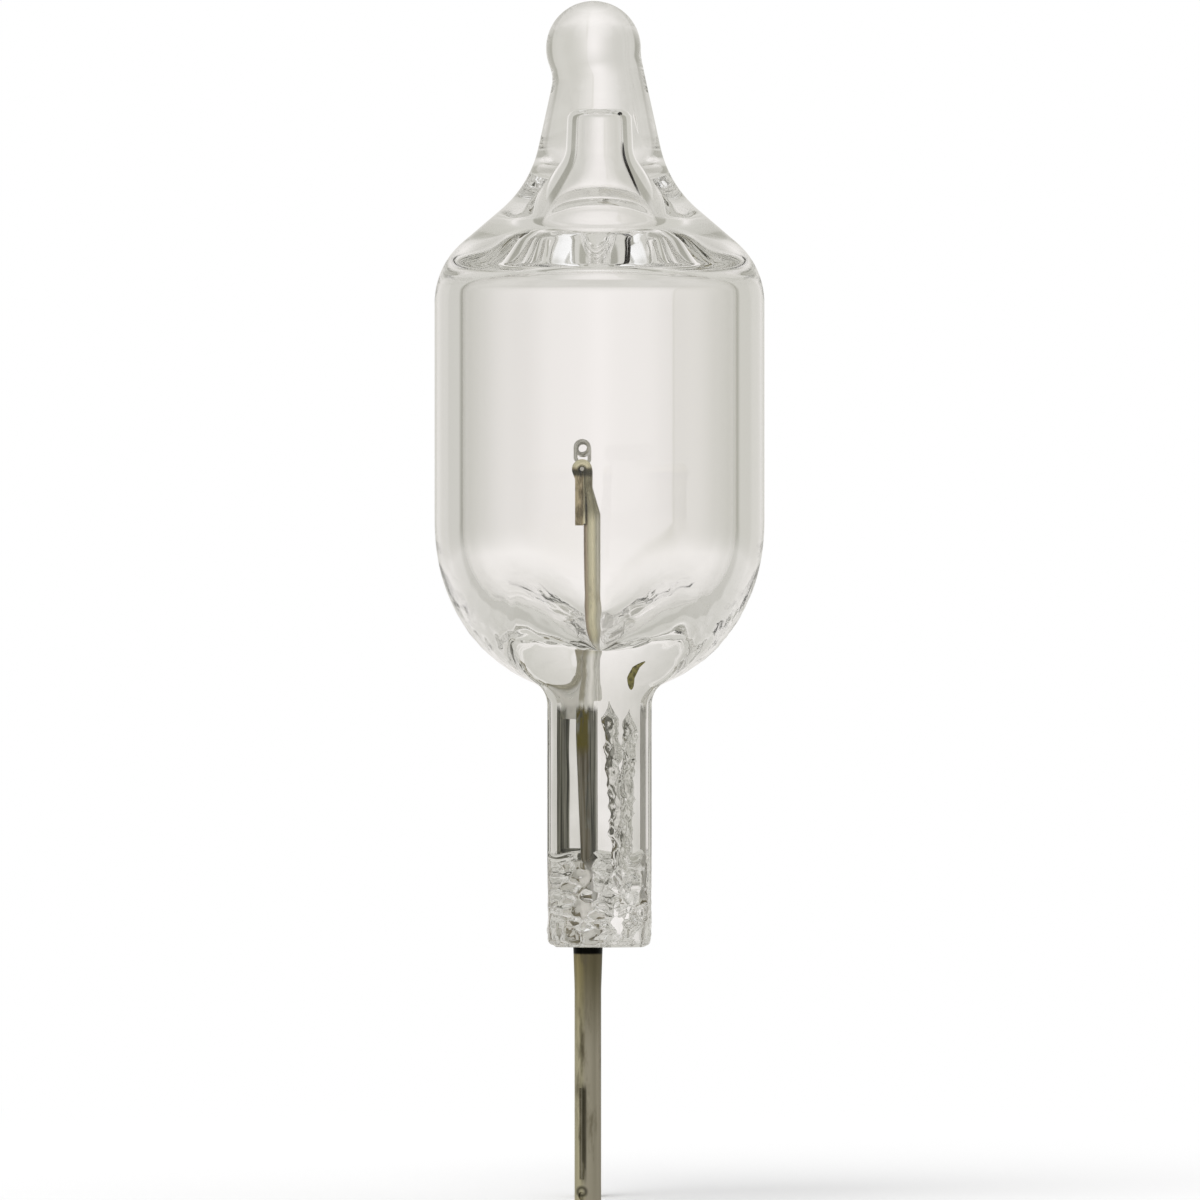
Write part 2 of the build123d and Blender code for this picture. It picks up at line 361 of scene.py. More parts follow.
floor_mesh = bpy.data.meshes.new("floor")
half_floor = FLOOR_SIZE / 2
corners = [(-half_floor, -half_floor, 0), (half_floor, -half_floor, 0),
           (half_floor, half_floor, 0), (-half_floor, half_floor, 0)]
floor_mesh.from_pydata(corners, [], [(0, 1, 2, 3)])
floor_mesh.materials.append(floor_paint.close(surface))
floor = add_object("floor", floor_mesh)
floor.location.z = cad_box[0].z
print(f"floor at z = {floor.location.z / MM:.2f} mm")

# %% [markdown]
# ## The glass envelope
# A glass blower starts from a tube: one end is drawn down and sealed off, the other is heated and
# pinched between jaws. Cutting it from solids gives creases that glass never has, so the skin is
# drawn here as a stack of rings instead. A ring is a circle in the barrel, and it turns step by step
# into a flat bar with rounded edges on the way down to the seal.

# %% Sizes of the glass, in millimetres about the barrel's axis
WALL = 0.74
BARREL_HEIGHT = 6.68
DOME_HEIGHT = 4.65
DOME_FULLNESS = 2.15
THROAT_RADIUS = 0.6
SEAL_LENGTH = 6.3
SEAL_THICKNESS = 2.72
SEAL_EDGE_ROUND = 0.6
SEAL_END_ROUND = 0.22
SHOULDER_ANGLE = math.radians(40.5)
SHOULDER_RADIUS = 2.1
STUB_BASE_RADIUS = 1.83
STUB_BLEND = 3.0
STUB_INSET = 0.05
BEAD_RADIUS = 1.255
BEAD_HEIGHT = 3.6
BEAD_OFFSET = 0.16

bulb_radius = (glass_high.x - glass_low.x) / 2 / MM
half_width = (glass_high.y - glass_low.y) / 2 / MM
half_thickness = SEAL_THICKNESS / 2
cavity_radius = bulb_radius - WALL
BEARINGS = 192
FLANK = 60.0
HALVINGS = 50
bearing = np.arange(BEARINGS) * 360.0 / BEARINGS


def bar_quarter(angle, half, across, edge_round):
    """First quarter of a flat bar's outline: a straight flank, then an oval edge."""
    turn = np.radians(90 * np.clip((angle - FLANK) / (90 - FLANK), 0, 1))
    along = (across - edge_round) * np.clip(angle / FLANK, 0, 1)
    return half * np.cos(turn), along + edge_round * np.sin(turn)


def ring(z, half, across, flatness=0.0, edge_round=0.0):
    """Ring of points at one height: an ellipse at flatness 0, a flat bar at 1."""
    folded = np.abs((bearing + 90) % 180 - 90)
    sign_x = np.where((bearing + 90) % 360 < 180, 1, -1)
    sign_y = np.where(bearing % 360 <= 180, 1, -1)
    bar_x, bar_y = bar_quarter(folded, half, across, edge_round)
    x = half * np.cos(np.radians(folded)) * (1 - flatness) + bar_x * flatness
    y = across * np.sin(np.radians(folded)) * (1 - flatness) + bar_y * flatness
    return np.column_stack([sign_x * x, sign_y * y, np.full(BEARINGS, z)])


def dome_point(angle, radius, height, fullness=DOME_FULLNESS):
    """Point on a dome's profile: how far out, and how far below its widest plane."""
    power = 2 / fullness
    return radius * math.cos(angle) ** power, height * math.sin(angle) ** power


def dome_normal(out, down):
    """Outward normal of the dome's profile at one of its points."""
    nx = (out / bulb_radius) ** (DOME_FULLNESS - 1) / bulb_radius
    nz = -((down / DOME_HEIGHT) ** (DOME_FULLNESS - 1)) / DOME_HEIGHT
    return nx / math.hypot(nx, nz), nz / math.hypot(nx, nz)


def throat_angle():
    """Angle on the dome where the throat's round touches it, found by halving."""
    low, high = 0.0, math.pi / 2
    for _ in range(HALVINGS):
        middle = (low + high) / 2
        out, down = dome_point(middle, bulb_radius, DOME_HEIGHT)
        if out + THROAT_RADIUS * dome_normal(out, down)[0] > half_thickness + THROAT_RADIUS:
            low = middle
        else:
            high = middle
    return low


throat = throat_angle()
throat_out, throat_down = dome_point(throat, bulb_radius, DOME_HEIGHT)
throat_normal = dome_normal(throat_out, throat_down)
dome_z = SEAL_LENGTH + throat_down - THROAT_RADIUS * throat_normal[1]
shoulder_z = dome_z + BARREL_HEIGHT
stub_base_z = shoulder_z + (bulb_radius - STUB_BASE_RADIUS) * math.tan(SHOULDER_ANGLE)
bead_z = stub_base_z + BEAD_HEIGHT
print(f"dome from z = {SEAL_LENGTH} to {dome_z:.2f} mm, "
      f"shoulder at {shoulder_z:.2f}, bead at {bead_z:.2f}")

# %% [markdown]
# The profile above the barrel is a few straight runs with rounded corners. It is written as corner
# points and radii, as on a drawing, and then sampled evenly along its length.

# %% Rounded profiles
ARC_POINTS = 24
PROFILE_STEP = 0.13


def rounded_profile(corners, radii):
    """Evenly spaced points along a (radius, z) profile whose inner corners are rounded."""
    corners = [np.array(corner, float) for corner in corners]
    points = [corners[0]]
    for before, corner, after, radius in zip(corners, corners[1:], corners[2:], radii):
        back = (before - corner) / np.linalg.norm(before - corner)
        ahead = (after - corner) / np.linalg.norm(after - corner)
        half = math.acos(back @ ahead) / 2
        inward = (back + ahead) / np.linalg.norm(back + ahead)
        centre = corner + inward * radius / math.sin(half)
        first = corner + back * radius / math.tan(half) - centre
        last = corner + ahead * radius / math.tan(half) - centre
        sweep = math.pi - 2 * half
        for share in np.linspace(0, 1, ARC_POINTS):
            turned = math.sin((1 - share) * sweep) * first + math.sin(share * sweep) * last
            points.append(centre + turned / math.sin(sweep))
    points = np.array(points + [corners[-1]])
    travelled = np.concatenate([[0], np.cumsum(np.linalg.norm(np.diff(points, axis=0), axis=1))])
    even = np.linspace(0, travelled[-1], math.ceil(travelled[-1] / PROFILE_STEP) + 1)
    return np.column_stack([np.interp(even, travelled, points[:, column]) for column in (0, 1)])


shoulder_profile = rounded_profile(
    [(bulb_radius, dome_z), (bulb_radius, shoulder_z), (STUB_BASE_RADIUS, stub_base_z),
     (BEAD_RADIUS - BEAD_OFFSET - STUB_INSET, bead_z)],
    [SHOULDER_RADIUS, STUB_BLEND])
print("shoulder profile:", len(shoulder_profile), "points")

# %% [markdown]
# The tip is where the tube was melted off, and the drop that closed it hangs a little to one side.
# Stub and drop are joined ring by ring with a soft maximum, which leaves a smooth neck between them.
# A thin line where the melt ran down is pressed in along one bearing.

# %% Rings of the tip
NECK_SOFTNESS = 0.4
LEAST_SOFTNESS = 0.01
DRIP_DEPTH = 0.03
DRIP_BEARING = 316.0
DRIP_WIDTH = 3.0
DRIP_START = 0.9
DRIP_START_FADE = 0.5
DRIP_END = 0.7
DRIP_END_FADE = 0.4


def soft_maximum(first, second, softness):
    """The larger of two values, with a smooth change from one to the other."""
    blend = np.clip(0.5 + (first - second) / (2 * softness), 0, 1)
    return second + (first - second) * blend + softness * blend * (1 - blend)


def reach(offset, radius):
    """Distance from a centre to a circle whose own centre lies to one side, along each bearing."""
    toward = np.cos(np.radians(bearing)) * offset
    return toward + np.sqrt(np.maximum(radius * radius - offset * offset + toward * toward, 0))


def drip(z):
    """How deep the line of the melt is at one height, along each bearing."""
    starts = np.clip((z - stub_base_z - DRIP_START) / DRIP_START_FADE, 0, 1)
    ends = np.clip((bead_z + DRIP_END - z) / DRIP_END_FADE, 0, 1)
    return DRIP_DEPTH * (starts * ends) * np.exp(-((bearing - DRIP_BEARING) / DRIP_WIDTH) ** 2)


def tip_ring(z, stub_radius):
    """Ring of the stub where the closing drop swells out of it."""
    lift = np.clip((z - stub_base_z) / BEAD_HEIGHT, 0, 1)
    centre = -BEAD_OFFSET * lift * lift * (3 - 2 * lift)
    radius = reach(-centre, stub_radius) if stub_radius > 0 else np.zeros(BEARINGS)
    height = z - bead_z
    if abs(height) < BEAD_RADIUS:
        drop = reach(-BEAD_OFFSET - centre, math.sqrt(BEAD_RADIUS ** 2 - height ** 2))
        softness = NECK_SOFTNESS * np.clip(-height / BEAD_RADIUS, LEAST_SOFTNESS, 1)
        radius = soft_maximum(radius, drop, softness)
    radius = radius - drip(z)
    x = centre + radius * np.cos(np.radians(bearing))
    y = radius * np.sin(np.radians(bearing))
    return np.column_stack([x, y, np.full(BEARINGS, z)])


BEAD_RINGS = 22


def tip_rings():
    """Rings of the barrel, the shoulder, the stub and the closing drop."""
    rings = [tip_ring(z, radius) for radius, z in shoulder_profile[1:]]
    for angle in np.linspace(0, 90, BEAD_RINGS)[1:-1]:
        rings.append(tip_ring(bead_z + BEAD_RADIUS * math.sin(math.radians(angle)), 0.0))
    return rings


print("tip: from z =", round(stub_base_z, 2), "to", round(bead_z + BEAD_RADIUS, 2), "mm")

# %% [markdown]
# The seal below is a plain bar with a rounded lower end. Between the bar and the barrel the rings
# follow the throat's round and then the dome, and each is flatter the narrower it is.

# %% Rings of the seal and the dome
SEAL_END_RINGS = 6
SEAL_RINGS = 60
THROAT_RINGS = 10
DOME_RINGS = 46


def seal_rings():
    """Rings of the flat seal, from its rounded lower end to the throat."""
    rings = []
    for turn in np.radians(np.linspace(0, 90, SEAL_END_RINGS)):
        inset = SEAL_END_ROUND * (1 - math.sin(turn))
        z = SEAL_END_ROUND * (1 - math.cos(turn))
        edge_round = SEAL_EDGE_ROUND - inset
        rings.append(ring(z, half_thickness - inset, half_width - inset, 1.0, edge_round))
    for z in np.linspace(SEAL_END_ROUND, SEAL_LENGTH, SEAL_RINGS)[1:-1]:
        rings.append(ring(z, half_thickness, half_width, 1.0, SEAL_EDGE_ROUND))
    return rings


def dome_rings():
    """Rings of the throat's round and the dome, which turn from a bar into a circle."""
    levels = []
    sweep = math.atan2(-throat_normal[1], throat_normal[0])
    for share in np.linspace(0, 1, THROAT_RINGS)[:-1]:
        turn = math.pi - sweep * share
        levels.append((half_thickness + THROAT_RADIUS * (1 + math.cos(turn)),
                       SEAL_LENGTH + THROAT_RADIUS * math.sin(turn)))
    for angle in np.linspace(throat, 0, DOME_RINGS):
        out, down = dome_point(angle, bulb_radius, DOME_HEIGHT)
        levels.append((out, dome_z - down))
    rings = []
    for half, z in levels:
        flatness = (bulb_radius - half) / (bulb_radius - half_thickness)
        across = bulb_radius + (half_width - bulb_radius) * flatness
        rings.append(ring(z, half, across, flatness, SEAL_EDGE_ROUND))
    return rings


skin_rings = seal_rings() + dome_rings() + tip_rings()
print("outer skin:", len(skin_rings), "rings of", BEARINGS, "points")

# %% [markdown]
# ## Pressed panels
# The jaws leave a shallow panel in each wide face of the seal. It could be cut with a Boolean, which
# leaves a sharp rim. Here it is pressed into the finished rings by moving points inwards, with a
# sloping wall all round.

# %% Panels
PANEL_DEPTH = 0.34
PANEL_WIDTH = 5.6
PANEL_LENGTH = 4.4
PANEL_CORNER = 0.9
PANEL_WALL_ANGLE = math.radians(35)
panel_slope = PANEL_DEPTH * math.tan(PANEL_WALL_ANGLE)


def smooth(value):
    """Turns a straight rise from 0 to 1 into one with soft ends."""
    value = np.clip(value, 0, 1)
    return value * value * (3 - 2 * value)


def press_panels(points):
    """Moves the points of both wide faces inwards where the jaws pressed them."""
    beyond_y = np.abs(points[:, 1]) - PANEL_WIDTH / 2 + PANEL_CORNER
    beyond_z = np.abs(points[:, 2] - SEAL_LENGTH / 2) - PANEL_LENGTH / 2 + PANEL_CORNER
    outside = np.hypot(np.maximum(beyond_y, 0), np.maximum(beyond_z, 0))
    inside = np.minimum(np.maximum(beyond_y, beyond_z), 0)
    depth = PANEL_DEPTH * smooth((PANEL_CORNER - outside - inside) / panel_slope)
    points[:, 0] -= np.sign(points[:, 0]) * depth
    return points


skin_rings = [press_panels(points) for points in skin_rings]
print(f"panels: {PANEL_WIDTH} x {PANEL_LENGTH} mm, {PANEL_DEPTH} mm deep")

# %% [markdown]
# ## The gas space
# The gas space is a second stack of rings: a trough above the seal, the bore of the barrel, a nearly
# flat ceiling and the funnel of the stub. The trough's floor froze last, so it carries flow wrinkles.

# %% Rings of the gas space
TROUGH_BASE = 1.4
TROUGH_WIDTH = 5.8
TROUGH_SLOT = 0.9
CAVITY_FULLNESS = 2.2
CAVITY_RINGS = 48
CEILING_DROP = 0.36
CEILING_ANGLE = math.radians(18)
CEILING_ROUND = 0.6
FUNNEL_RADIUS = 1.6
FUNNEL_ANGLE = math.radians(68)
FUNNEL_ROUND = 0.6
BORE_RADIUS = 0.62
BORE_ROUND = 1.4
BORE_END_RADIUS = 0.58
BORE_END_ROUND = 0.25
LAST_RING_RADIUS = 0.03
BEAD_SOLID = 1.71
WRINKLE = 0.032
WRINKLE_LENGTH = 0.4
WRINKLE_TOP = 1.8
WRINKLE_FADE = 1.2

trough_z = SEAL_LENGTH + TROUGH_BASE
ceiling_z = shoulder_z - CEILING_DROP


def trough_rings():
    """Rings of the gas space from its floor up to the widest plane."""
    depth = dome_z - trough_z
    last = math.acos((TROUGH_SLOT / 2 / cavity_radius) ** (CAVITY_FULLNESS / 2))
    rings = []
    for angle in np.linspace(last, 0, CAVITY_RINGS):
        out, down = dome_point(angle, cavity_radius, depth, CAVITY_FULLNESS)
        across = cavity_radius - (cavity_radius - TROUGH_WIDTH / 2) * (down / depth) ** 2
        rings.append(ring(dome_z - down, out, across))
    return rings


def bore_rings():
    """Rings of the gas space in the barrel, the ceiling, the funnel and the stub."""
    funnel_z = ceiling_z + (cavity_radius - FUNNEL_RADIUS) * math.tan(CEILING_ANGLE)
    bore_z = funnel_z + (FUNNEL_RADIUS - BORE_RADIUS) * math.tan(FUNNEL_ANGLE)
    bore_top = bead_z - BEAD_SOLID
    profile = rounded_profile(
        [(cavity_radius, dome_z), (cavity_radius, ceiling_z), (FUNNEL_RADIUS, funnel_z),
         (BORE_RADIUS, bore_z), (BORE_END_RADIUS, bore_top), (LAST_RING_RADIUS, bore_top)],
        [CEILING_ROUND, FUNNEL_ROUND, BORE_ROUND, BORE_END_ROUND])
    return [ring(z, radius, radius) for radius, z in profile[1:]]


def wrinkle_trough(points):
    """Lays flow wrinkles over the trough, stronger towards its floor."""
    depth = smooth((trough_z + WRINKLE_TOP - points[:, 2]) / WRINKLE_FADE)
    swell = [noise.noise(Vector(point) / WRINKLE_LENGTH) for point in points]
    points[:, 2] += WRINKLE * depth * np.array(swell)
    return points


gas_rings = [wrinkle_trough(points) for points in trough_rings() + bore_rings()]
print("gas space:", len(gas_rings), "rings")

# %% [markdown]
# Molten quartz doesn't wet a thick pin, so a crumpled gap is left round each pin as far up as its
# foil. Its creased walls mirror light so strongly that the pin hardly shows behind them. A cellular
# noise gives the creases: each cell is a small cone, steep enough for total reflection.

# %% Crumpled gas pockets
PIN_RADIUS = 0.35
CAPILLARY_GAP = 0.02
CREASE_SLOPE = 1.5
CREASE_CELL = 0.25
CAPILLARY_MOUTH = 0.3
CAPILLARY_DOME = 0.35
CAPILLARY_POINTS = 84
CAPILLARY_RINGS = 72
NEVER_SHUT = 0.001

pin_low, pin_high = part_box("near_contact_pin")
pin_offset = ((pin_low.x + pin_high.x) / 2 - axis_x) / MM
pin_spacing = (pin_low.y + pin_high.y) / 2 / MM
capillary_top = pin_high.z / MM


def crumpled_ring(centre, radius, count, slope=0.0, cell=1.0):
    """Level ring whose wall is creased into cells, or a plain circle at slope 0."""
    points = []
    for angle in np.arange(count) * 2 * math.pi / count:
        outward = Vector((math.cos(angle), math.sin(angle), 0))
        place = Vector(centre) + outward * max(radius, cell)
        nearest = noise.voronoi(place / cell)[0][0] * cell
        points.append(Vector(centre) + outward * (radius + slope * nearest))
    return np.array(points)


def capillary_rings(y):
    """Rings of the crumpled gap round one pin, closed by a dome over its end."""
    rings = []
    for z in np.linspace(0, capillary_top + CAPILLARY_DOME, CAPILLARY_RINGS):
        above = max(z - capillary_top, 0) / CAPILLARY_DOME
        shut = math.sqrt(max(1 - above * above, NEVER_SHUT))
        slope = CREASE_SLOPE * smooth(z / CAPILLARY_MOUTH) * shut
        radius = (PIN_RADIUS + CAPILLARY_GAP) * shut
        rings.append(crumpled_ring((pin_offset, y, z), radius, CAPILLARY_POINTS, slope, CREASE_CELL))
    return rings


capillaries = [capillary_rings(pin_spacing), capillary_rings(-pin_spacing)]
print("capillaries up to z =", round(capillary_top, 2), "mm")

# %% [markdown]
# Where the hot tube was squeezed shut, its inner walls met, and two crumpled threads of gas stayed
# between them. They run down the right of the foils and glitter for the same reason. Each is given
# by its lower end, its upper end and its radius.

# %% Trapped gas threads
THREADS = [((0.5, -3.1, 1.3), (0.22, -3.1, 6.4), 0.06), ((0.56, -3.2, 1.5), (0.68, -3.2, 6.2), 0.03)]
THREAD_POINTS = 24
THREAD_RINGS = 120
THREAD_SWAY = 0.08
THREAD_SWAY_RATE = 1.7
THREAD_SLOPE = 0.7
THREAD_CELL = 0.26
THREAD_TAPER = 10
THREAD_END_SHARE = 0.2


def thread_rings(end, top, radius):
    """Rings of one gas thread, swaying a little and tapered at both ends."""
    rings = []
    for share in np.linspace(0, 1, THREAD_RINGS):
        centre = np.array(end) * (1 - share) + np.array(top) * share
        centre[0] += THREAD_SWAY * noise.noise(Vector((0, end[1], THREAD_SWAY_RATE * centre[2])))
        swell = smooth(THREAD_TAPER * share) * smooth(THREAD_TAPER - THREAD_TAPER * share)
        thick = radius * (THREAD_END_SHARE + (1 - THREAD_END_SHARE) * swell)
        rings.append(crumpled_ring(centre, thick, THREAD_POINTS, THREAD_SLOPE * swell, THREAD_CELL))
    return rings


gas_threads = [thread_rings(*thread) for thread in THREADS]
print("gas threads:", [len(rings) for rings in gas_threads], "rings")

# %% [markdown]
# The rings become one mesh. Neighbouring rings are bridged with quads, the tip is closed with a fan,
# and the seal's lower end is filled round the two capillary mouths. The gas space is a closed shell
# of its own, turned inside out, so that its faces look at the gas.

# %% Shell of rings


class Shell:
    """Points and faces of a mesh that is put together ring by ring."""

    def __init__(self):
        self.points = []
        self.faces = []
        self.count = 0

    def add(self, points):
        start = self.count
        self.points.append(points)
        self.count += len(points)
        return start

    def bridge(self, rings, flipped=False):
        """Joins a stack of rings, lowest first, and returns where its first and last ring start."""
        size = len(rings[0])
        starts = [self.add(points) for points in rings]
        for low, high in zip(starts, starts[1:]):
            for step in range(size):
                after = (step + 1) % size
                face = (low + step, low + after, high + after, high + step)
                self.faces.append(face[::-1] if flipped else face)
        return starts[0], starts[-1]

    def fan(self, start, size, point, flipped=False):
        """Closes the ring that starts at one point number with a fan of triangles."""
        tip = self.add(np.array([point]))
        for step in range(size):
            face = (start + step, start + (step + 1) % size, tip)
            self.faces.append(face[::-1] if flipped else face)

    def tube(self, rings, flipped=False):
        """Joins a stack of rings and closes both ends."""
        start, end = self.bridge(rings, flipped)
        self.fan(end, len(rings[-1]), rings[-1].mean(axis=0), flipped)
        self.fan(start, len(rings[0]), rings[0].mean(axis=0), not flipped)


def in_frame(points):
    """Moves points from millimetres about the barrel's axis to the part's frame, in metres."""
    return points * MM + np.array([axis_x, 0, 0])


def new_piece(name, shell):
    """Object made from a shell, in the part's frame."""
    mesh = bpy.data.meshes.new(name)
    mesh.from_pydata(in_frame(np.vstack(shell.points)).tolist(), [], shell.faces)
    return add_object(name, mesh)


print("shell helper ready")

# %% [markdown]
# The outer skin comes first, so that its points are easy to find again when the waves are laid on.
# The lower end is a flat face with two holes. Blender's triangle fill closes it between the loops.

# %% Glass mesh


def close_seal_end(mesh, loops):
    """Fills the seal's lower end between its outline and the capillary mouths."""
    grid = bmesh.new()
    grid.from_mesh(mesh)
    grid.verts.ensure_lookup_table()
    edges = []
    for start, size in loops:
        for step in range(size):
            pair = (grid.verts[start + step], grid.verts[start + (step + 1) % size])
            edges.append(grid.edges.get(pair))
    bmesh.ops.triangle_fill(grid, use_beauty=True, edges=edges, normal=(0, 0, -1))
    grid.to_mesh(mesh)
    grid.free()


def glass_mesh():
    """Mesh of all the glass, still in millimetres."""
    shell = Shell()
    skin_start, skin_end = shell.bridge(skin_rings)
    shell.fan(skin_end, BEARINGS, (-BEAD_OFFSET, 0, bead_z + BEAD_RADIUS))
    gas_start, gas_end = shell.bridge(gas_rings, flipped=True)
    shell.fan(gas_end, BEARINGS, (0, 0, gas_rings[-1][0, 2]), flipped=True)
    shell.fan(gas_start, BEARINGS, (0, 0, gas_rings[0][0, 2]))
    for rings in gas_threads:
        shell.tube(rings, flipped=True)
    loops = [(skin_start, BEARINGS)]
    for rings in capillaries:
        mouth, top = shell.bridge(rings, flipped=True)
        shell.fan(top, CAPILLARY_POINTS, rings[-1].mean(axis=0), flipped=True)
        loops.append((mouth, CAPILLARY_POINTS))
    mesh = bpy.data.meshes.new("glass_skin")
    mesh.from_pydata(np.vstack(shell.points).tolist(), [], shell.faces)
    close_seal_end(mesh, loops)
    return mesh


skin_mesh = glass_mesh()
print("glass mesh:", len(skin_mesh.polygons), "faces")

# %% [markdown]
# Hot glass that was squeezed and cooled is never quite true. A little waviness is laid over the skin:
# strong low in the seal, where the jaws let go first, and faint in the dome. The points move along
# their normals by a smooth noise that is the same on every run.

# %% Waves in the glass
WAVE_LENGTHS = (0.5, 0.9, 1.0)
WAVE_SCALE = 0.42
WAVE_SINK = 0.6
WAVE_OCTAVES = 3
SEAL_WAVE = 0.05
SEAL_WAVE_TOP = 0.6
SEAL_WAVE_FADE = 1.6
DOME_WAVE = 0.014
DOME_WAVE_SIDES = (1.3, 0.3)
DOME_WAVE_START = 0.4
DOME_WAVE_START_FADE = 0.6
DOME_WAVE_END = 3.2
FLAT_END = 1e-4
SHARP_ANGLE = math.radians(50)


def wave_height(point):
    """How far the skin stands out at one point, in millimetres."""
    x, y, z = point
    if z > dome_z or z < FLAT_END:
        return 0.0
    low = 1 - smooth((z - SEAL_WAVE_TOP) / SEAL_WAVE_FADE)
    starts = smooth((z - SEAL_LENGTH - DOME_WAVE_START) / DOME_WAVE_START_FADE)
    dome = starts * smooth(SEAL_LENGTH + DOME_WAVE_END - z)
    middle, more_right = DOME_WAVE_SIDES
    height = SEAL_WAVE * low + DOME_WAVE * dome * (middle + more_right * np.sign(x))
    long_x, long_y, long_z = WAVE_LENGTHS
    place = Vector((x / long_x, y / long_y, z / long_z)) / WAVE_SCALE
    return height * (noise.fractal(place, 1.0, 2.0, WAVE_OCTAVES) - WAVE_SINK)


def wave_glass(mesh):
    """Lays the waves over the skin and moves the mesh into the part's frame."""
    normals = np.empty(len(mesh.vertices) * 3)
    mesh.vertices.foreach_get("normal", normals)
    places = np.empty(len(mesh.vertices) * 3)
    mesh.vertices.foreach_get("co", places)
    normals, places = normals.reshape(-1, 3), places.reshape(-1, 3)
    for index in range(len(skin_rings) * BEARINGS):
        height = wave_height(places[index])
        if height:
            places[index] += normals[index] * height
    places[:, 1] = np.clip(places[:, 1], -half_width, half_width)
    mesh.vertices.foreach_set("co", in_frame(places).ravel())
    mesh.update()


wave_glass(skin_mesh)
skin_mesh.shade_smooth()
skin_mesh.set_sharp_from_angle(angle=SHARP_ANGLE)
glass = add_object("glass_skin", skin_mesh)
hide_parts("glass_envelope")
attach(glass, "root")
print("waves laid over", len(skin_rings) * BEARINGS, "points")

# %% [markdown]
# ## Soot and a stain
# The sealing flame left a sooty hair on the funnel's wall, which thins out at its lower end, and a
# speck at the top of the bore. An olive stain sits in the throat. All three are short tubes with
# tapered ends. Hair and speck follow the wall, so their places come from the rings of the gas space.

# %% Soot in the funnel
SOOT_BEARING = math.radians(-41)
SOOT_HAIR = (19.3, 21.05, 0.032)
SOOT_SPECK = (21.78, 21.86, 0.035)
THROAT_STAIN = [(0.76, -3.6, 6.72), (0.78, -3.7, 7.02), (0.92, -3.7, 7.3), (1.14, -3.6, 7.45)]
STAIN_RADIUS = 0.1
PATH_POINTS = 12
SOOT_RINGS = 25
SOOT_POINTS = 10
SOOT_END_SHARE = 0.01


def bore_radius(z):
    """Radius of the gas space at a height in the funnel or the bore."""
    upper = [points[0] for points in gas_rings if points[0, 2] > ceiling_z]
    return np.interp(z, [point[2] for point in upper], [point[0] for point in upper])


def funnel_path(low, high, thickness):
    """Points up the funnel's wall, just inside the glass."""
    path = []
    for z in np.linspace(low, high, PATH_POINTS):
        out = bore_radius(z) + thickness
        path.append((out * math.cos(SOOT_BEARING), out * math.sin(SOOT_BEARING), z))
    return path


def soot_trace(shell, path, thickness):
    """Adds a tapered tube along a path."""
    path = np.array(path)
    rings = []
    for share in np.linspace(0, 1, SOOT_RINGS):
        place = share * (len(path) - 1)
        centre = [np.interp(place, np.arange(len(path)), path[:, axis]) for axis in range(3)]
        swell = thickness * math.sqrt(share * (1 - share) * 4 + SOOT_END_SHARE)
        rings.append(crumpled_ring(centre, swell, SOOT_POINTS))
    shell.tube(rings)


def soot_in_funnel():
    shell = Shell()
    for low, high, thickness in (SOOT_HAIR, SOOT_SPECK):
        soot_trace(shell, funnel_path(low, high, thickness), thickness)
    soot_trace(shell, THROAT_STAIN, STAIN_RADIUS)
    soot = new_piece("funnel_soot", shell)
    soot.data.shade_smooth()
    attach(soot, "root")
    return soot


soot = soot_in_funnel()
print("soot:", len(soot.data.polygons), "faces")

# %% [markdown]
# Soot is dull and flaky, and the stain is an olive film. One finish serves both, and the height
# above the seal tells them apart. Alpha thins the hair's lower end.

# %% Soot finish
SOOT_GRAIN = (9000, 9000, 9000)
SOOT_BLACK = (0.01, 0.008, 0.006, 1)
SOOT_GREY = (0.05, 0.04, 0.03, 1)
STAIN_PALE = (0.5, 0.45, 0.13, 1)
STAIN_DARK = (0.22, 0.19, 0.05, 1)
STAIN_EDGES = (0.4, 0.6)
SOOT_ABOVE = (9.0, 12.0)
HAIR_THINS = (19.35, 19.85)
HAIR_LOSS = 0.75
MATT = 0.5
MATT_SPREAD = 0.3


def soot_finish():
    finish = new_finish("funnel_soot")
    place = finish.position()
    flakes = finish.noise(place, SOOT_GRAIN)
    black = finish.tint(flakes, SOOT_BLACK, SOOT_GREY)
    olive = finish.fade(flakes, STAIN_EDGES, STAIN_PALE, STAIN_DARK)
    height = finish.axes(place)[2] / MM
    hair = finish.ease(height, SOOT_ABOVE)
    thin = hair * (1 - finish.ease(height, HAIR_THINS))
    shader = finish.add("ShaderNodeBsdfPrincipled", None, {
        "Base Color": finish.tint(hair, olive, black), "Roughness": MATT + MATT_SPREAD * flakes,
        "Alpha": 1 - HAIR_LOSS * thin})
    return finish.close(shader)


soot.data.materials.append(soot_finish())
print("soot finish made")

# %% [markdown]
# ## Clear quartz
# Quartz glass is colourless and fire-polished, so the finish is a Principled shader with full
# transmission. The index of refraction is a plain constant. Only faint things vary: a smoky tint in
# the middle of the seal, and shallow waves as a bump.

# %% Glass finish
GLASS_TINT = (0.985, 0.982, 0.98, 1.0)
SEAL_TINT = (0.8, 0.8, 0.775, 1.0)
QUARTZ_INDEX = 1.46
SMOKE_GRAIN = (1500, 1500, 500)
SMOKE_EDGES = (0.2, 0.6)
SMOKE_STARTS = (1.8, 2.6)
SMOKE_ENDS = (6.5, 8.1)
RIPPLE_GRAIN = (900, 900, 500)
RIPPLE_DETAIL = 2.0
RIPPLE_STRENGTH = 0.004
RIPPLE_DEPTH = 0.0001


